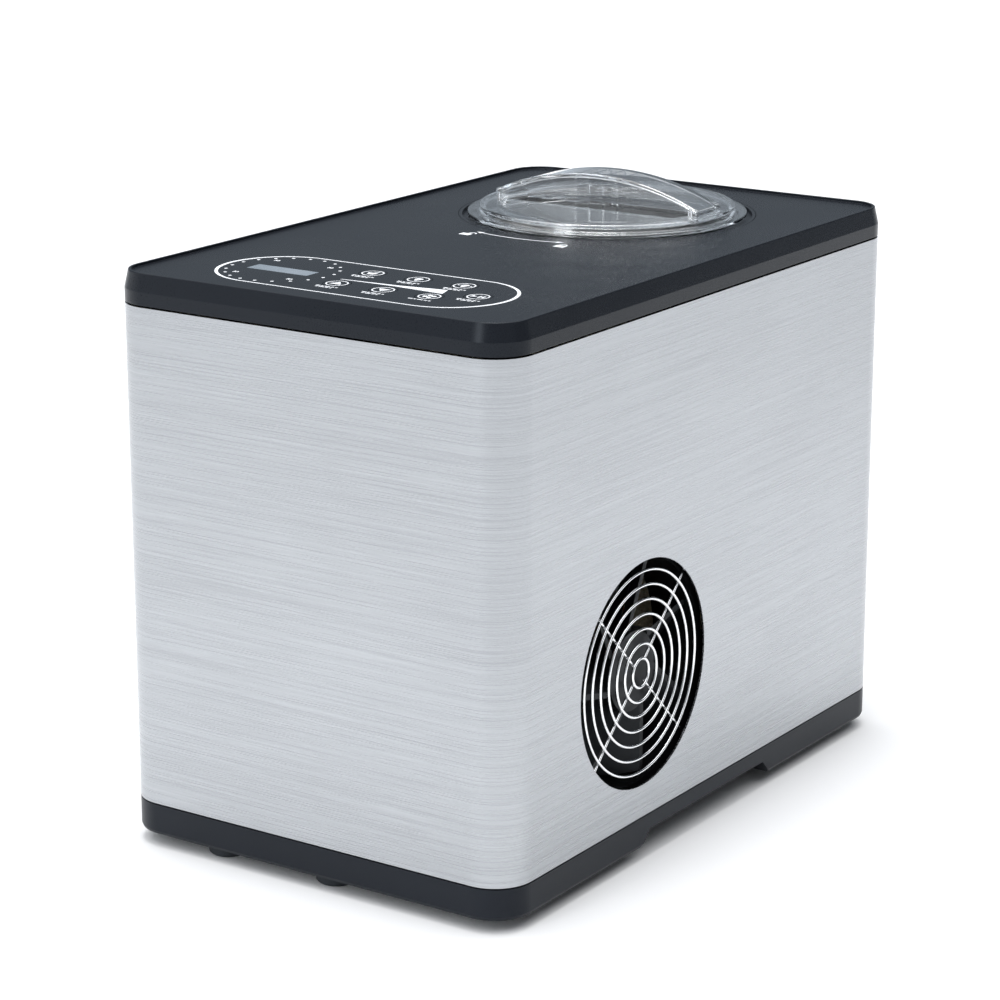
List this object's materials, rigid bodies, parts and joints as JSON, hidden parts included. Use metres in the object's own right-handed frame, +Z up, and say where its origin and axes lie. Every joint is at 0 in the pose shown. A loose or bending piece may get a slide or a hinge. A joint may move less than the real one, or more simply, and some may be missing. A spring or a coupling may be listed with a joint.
{
  "type": "ice cream maker",
  "caption": "Counter-top ice cream maker: steel-wrapped case with built-in cooling, touch keys, wire fan guard, lift-out bowl, stirring paddle and clear twist-lock lid.",
  "frame": {"origin": "centre of the footprint on the surface the feet stand on", "axes": "front with the control panel faces -Y, the fan guard faces +X, +Z up; +Y runs to the rear"},
  "size_m": [0.228, 0.364, 0.3083],
  "materials": {
    "case_plastic": "fine moulded satin, charcoal",
    "cover_plastic": "fine moulded satin, charcoal",
    "panel_film": "satin film, charcoal",
    "panel_ink": "flat printed white",
    "display_clear": "smooth tinted window",
    "display_body": "grey-green display",
    "circuit_board": "green solder mask",
    "switch_black": "plain black",
    "rubber_black": "matt rubber",
    "screw_steel": "zinc-plated",
    "case_steel": "horizontal long-grain brushing",
    "guard_wire": "bright plated wire",
    "fan_plastic": "plain black",
    "fin_aluminium": "mill finish",
    "copper_pipe": "drawn copper",
    "compressor_black": "gloss black enamel",
    "zinc_sheet": "galvanised sheet",
    "foam_cream": "rigid foam",
    "silicone_grey": "translucent grey silicone",
    "gear_plastic": "natural acetal",
    "gearbox_grey": "die-cast",
    "motor_grey": "plain grey",
    "inlet_black": "gloss black",
    "loom_black": "braided sleeve",
    "bowl_aluminium": "satin anodised",
    "paddle_white": "smooth natural white",
    "lid_clear": "clear moulded plastic"
  },
  "bodies": {
    "housing": {"base_tray": "case_plastic", "rubber_feet": "rubber_black", "base_screws": "screw_steel", "steel_wrap": "case_steel", "top_cover": "cover_plastic", "cover_screws": "screw_steel", "bowl_collar": "cover_plastic", "collar_screws": "screw_steel", "panel_overlay": "panel_film", "display_window": "display_clear", "display_module": "display_body", "control_board": "circuit_board", "key_switches": "switch_black", "board_screws": "screw_steel", "fan_guard": "guard_wire", "fan_guard_screws": "screw_steel", "fan_frame": "fan_plastic", "condenser_fins": "fin_aluminium", "condenser_tube": "copper_pipe", "compressor_shell": "compressor_black", "compressor_plate": "compressor_black", "compressor_grommets": "rubber_black", "compressor_bolts": "screw_steel", "discharge_line": "copper_pipe", "liquid_line": "copper_pipe", "filter_drier": "copper_pipe", "capillary_tube": "copper_pipe", "suction_line": "copper_pipe", "evaporator_coil": "copper_pipe", "cooling_well": "fin_aluminium", "well_gasket": "silicone_grey", "insulation_foam": "foam_cream", "well_frame": "zinc_sheet", "well_bush": "gear_plastic", "gearbox_housing": "gearbox_grey", "gearbox_cover": "gearbox_grey", "gearbox_screws": "screw_steel", "stir_motor": "motor_grey", "motor_bracket": "zinc_sheet", "power_board": "circuit_board", "power_inlet": "inlet_black", "inlet_screws": "screw_steel", "wiring_loom": "loom_black"},
    "fan_rotor": {"fan_rotor": "fan_plastic"},
    "drive_shaft": {"drive_shaft": "screw_steel", "output_gear": "gear_plastic"},
    "idler": {"idler_gear": "gear_plastic"},
    "motor_rotor": {"motor_pinion": "screw_steel"},
    "bowl": {"bowl": "bowl_aluminium"},
    "paddle": {"paddle": "paddle_white"},
    "lid_seal": {"lid_seal": "silicone_grey"},
    "lid": {"lid": "lid_clear"},
    "key_mix_only": {"key_mix_only": "panel_film"},
    "key_soft": {"key_soft": "panel_film"},
    "key_firm": {"key_firm": "panel_film"},
    "key_time_up": {"key_time_up": "panel_film"},
    "key_time_down": {"key_time_down": "panel_film"},
    "key_stir": {"key_stir": "panel_film"},
    "key_start": {"key_start": "panel_film"}
  },
  "joints": [
    {"name": "fan_spin", "type": "hinge", "parent": "housing", "child": "fan_rotor", "pos_m": [0.097, -0.0635, 0.096], "axis": [1, 0, 0], "continuous": true},
    {"name": "shaft_spin", "type": "hinge", "parent": "housing", "child": "drive_shaft", "pos_m": [0, 0.0815, 0.1], "axis": [0, 0, 1], "continuous": true},
    {"name": "idler_spin", "type": "hinge", "parent": "housing", "child": "idler", "pos_m": [0, 0.0272, 0.03], "axis": [0, 0, 1], "continuous": true},
    {"name": "motor_spin", "type": "hinge", "parent": "housing", "child": "motor_rotor", "pos_m": [-0.04185, 0.00986, 0.05], "axis": [0, 0, 1], "continuous": true},
    {"name": "bowl_lift", "type": "slide", "parent": "housing", "child": "bowl", "axis": [0, 0, 1], "range_m": [0, 0.17]},
    {"name": "paddle_spin", "type": "hinge", "parent": "bowl", "child": "paddle", "pos_m": [0, 0.0815, 0.18], "axis": [0, 0, 1], "continuous": true},
    {"name": "lid_lift", "type": "slide", "parent": "bowl", "child": "lid_seal", "axis": [0, 0, 1], "range_m": [0, 0.08]},
    {"name": "lid_turn", "type": "hinge", "parent": "lid_seal", "child": "lid", "pos_m": [0, 0.0815, 0.285], "axis": [0, 0, 1], "range_deg": [0, 35]},
    {"name": "key_mix_only_press", "type": "slide", "parent": "housing", "child": "key_mix_only", "axis": [0, 0, -1], "range_m": [0, 0.0006], "stiffness_N_per_m": 900},
    {"name": "key_soft_press", "type": "slide", "parent": "housing", "child": "key_soft", "axis": [0, 0, -1], "range_m": [0, 0.0006], "stiffness_N_per_m": 900},
    {"name": "key_firm_press", "type": "slide", "parent": "housing", "child": "key_firm", "axis": [0, 0, -1], "range_m": [0, 0.0006], "stiffness_N_per_m": 900},
    {"name": "key_time_up_press", "type": "slide", "parent": "housing", "child": "key_time_up", "axis": [0, 0, -1], "range_m": [0, 0.0006], "stiffness_N_per_m": 900},
    {"name": "key_time_down_press", "type": "slide", "parent": "housing", "child": "key_time_down", "axis": [0, 0, -1], "range_m": [0, 0.0006], "stiffness_N_per_m": 900},
    {"name": "key_stir_press", "type": "slide", "parent": "housing", "child": "key_stir", "axis": [0, 0, -1], "range_m": [0, 0.0006], "stiffness_N_per_m": 900},
    {"name": "key_start_press", "type": "slide", "parent": "housing", "child": "key_start", "axis": [0, 0, -1], "range_m": [0, 0.0006], "stiffness_N_per_m": 900}
  ],
  "couplings": [
    {"joint": "idler_spin", "follows": "shaft_spin", "ratio": -5},
    {"joint": "motor_spin", "follows": "shaft_spin", "ratio": 20},
    {"joint": "paddle_spin", "follows": "shaft_spin", "ratio": 1}
  ]
}
